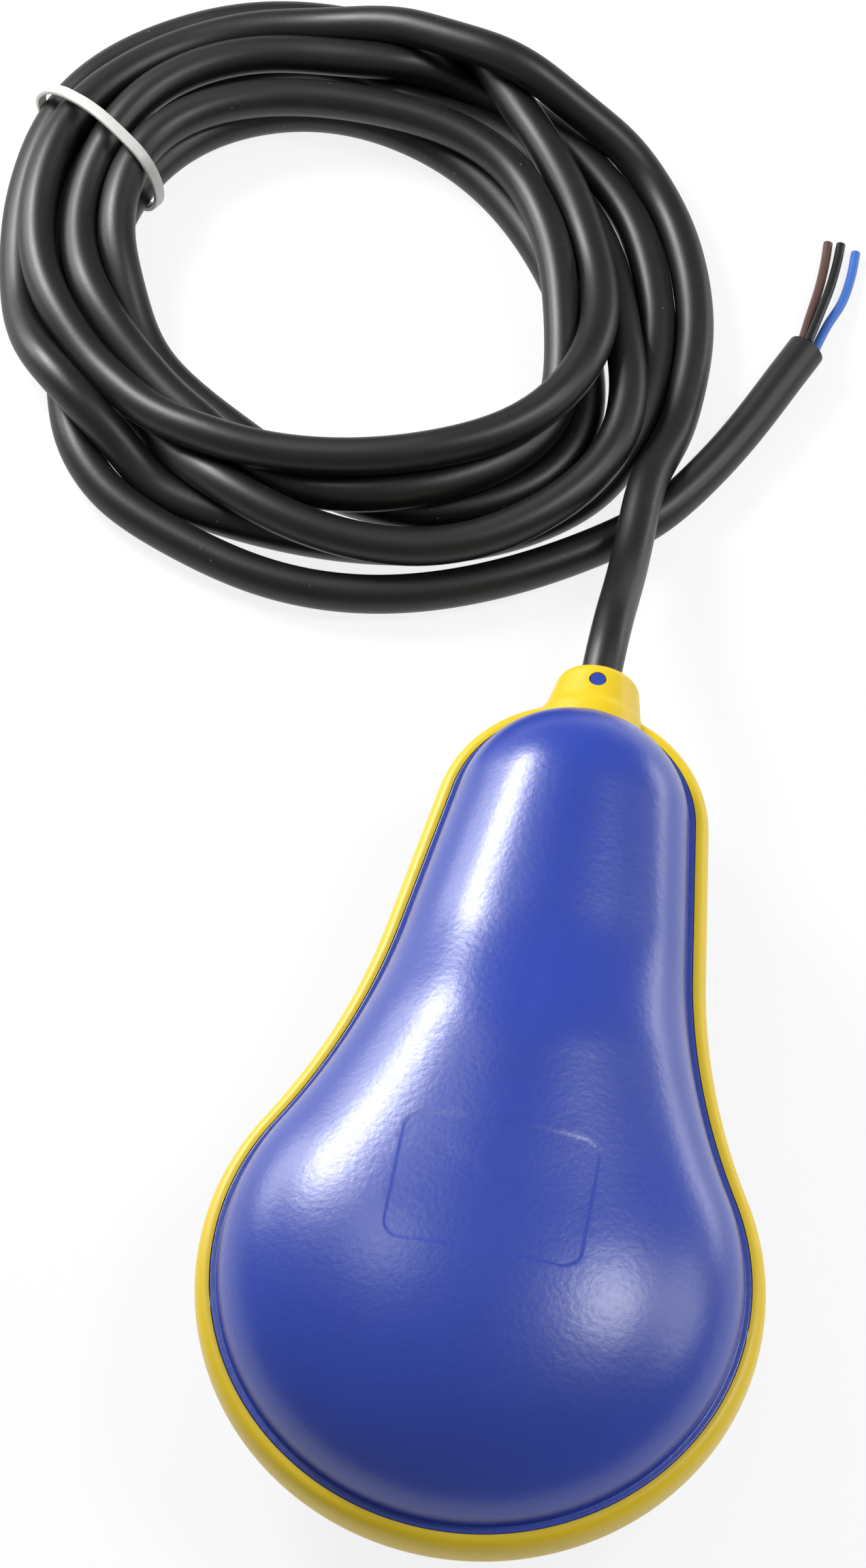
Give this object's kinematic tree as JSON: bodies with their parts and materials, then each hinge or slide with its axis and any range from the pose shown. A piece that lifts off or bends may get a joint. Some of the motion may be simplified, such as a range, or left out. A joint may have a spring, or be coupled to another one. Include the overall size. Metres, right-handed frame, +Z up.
{
  "type": "cable float switch",
  "caption": "Pear-shaped float with moulded shells, a seam band and nozzle, a sealed ball-operated switch inside, and a coiled cable with bare wire ends.",
  "frame": {"origin": "under the middle of the float's own box, on the surface that it lies on", "axes": "+Y along the float from the round belly to the cable nozzle, +Z up through the front face, +X to the right seen from the belly"},
  "size_m": [0.1968, 0.3524, 0.0545],
  "materials": {
    "blue_plastic": "moulded blue polypropylene, glossy",
    "yellow_plastic": "moulded yellow thermoplastic rubber, satin",
    "cable_rubber": "smooth black rubber sheath, satin",
    "white_plastic": "moulded off-white plastic",
    "grey_plastic": "moulded grey plastic",
    "dark_plastic": "moulded black phenolic",
    "red_plastic": "moulded red plastic",
    "bright_steel": "bright steel",
    "brass": "plain brass",
    "clear_nylon": "natural nylon, slightly clear",
    "brown_wire": "brown insulation",
    "black_wire": "black insulation",
    "blue_wire": "blue insulation"
  },
  "bodies": {
    "root": {"front_shell": "blue_plastic", "rear_shell": "blue_plastic", "seam_band": "yellow_plastic", "cable_sleeve": "blue_plastic", "cable_seal": "cable_rubber", "cable_clamp": "grey_plastic", "clamp_screw_1": "bright_steel", "clamp_screw_2": "bright_steel", "switch_case": "white_plastic", "switch_lid": "white_plastic", "case_screw_1": "bright_steel", "case_screw_2": "bright_steel", "case_screw_3": "bright_steel", "case_screw_4": "bright_steel", "ball_channel": "grey_plastic", "microswitch_body": "dark_plastic", "lever_pin": "bright_steel", "terminal_common": "brass", "terminal_open": "brass", "terminal_closed": "brass", "inner_wire_brown": "brown_wire", "inner_wire_black": "black_wire", "inner_wire_blue": "blue_wire", "cable_lead": "cable_rubber", "cable_coil": "cable_rubber", "cable_tail": "cable_rubber", "cable_tie": "clear_nylon", "wire_end_brown": "brown_wire", "wire_end_black": "black_wire", "wire_end_blue": "blue_wire"},
    "ball": {"steel_ball": "bright_steel"},
    "lever": {"switch_lever": "bright_steel"},
    "plunger": {"switch_plunger": "red_plastic"}
  },
  "joints": [
    {"name": "ball_slide", "type": "slide", "parent": "root", "child": "ball", "axis": [0, 1, 0], "range_m": [0, 0.014]},
    {"name": "lever_hinge", "type": "hinge", "parent": "root", "child": "lever", "pos_m": [0.0017, 0.0419, 0.027], "axis": [0, 0, 1], "range_deg": [0, 2.6]},
    {"name": "plunger_slide", "type": "slide", "parent": "root", "child": "plunger", "axis": [1, 0, 0], "range_m": [0, 0.00059]}
  ],
  "couplings": [
    {"joint": "lever_hinge", "follows": "ball_slide", "rad_per_m": 3.2413},
    {"joint": "plunger_slide", "follows": "ball_slide", "ratio": 0.0421}
  ]
}
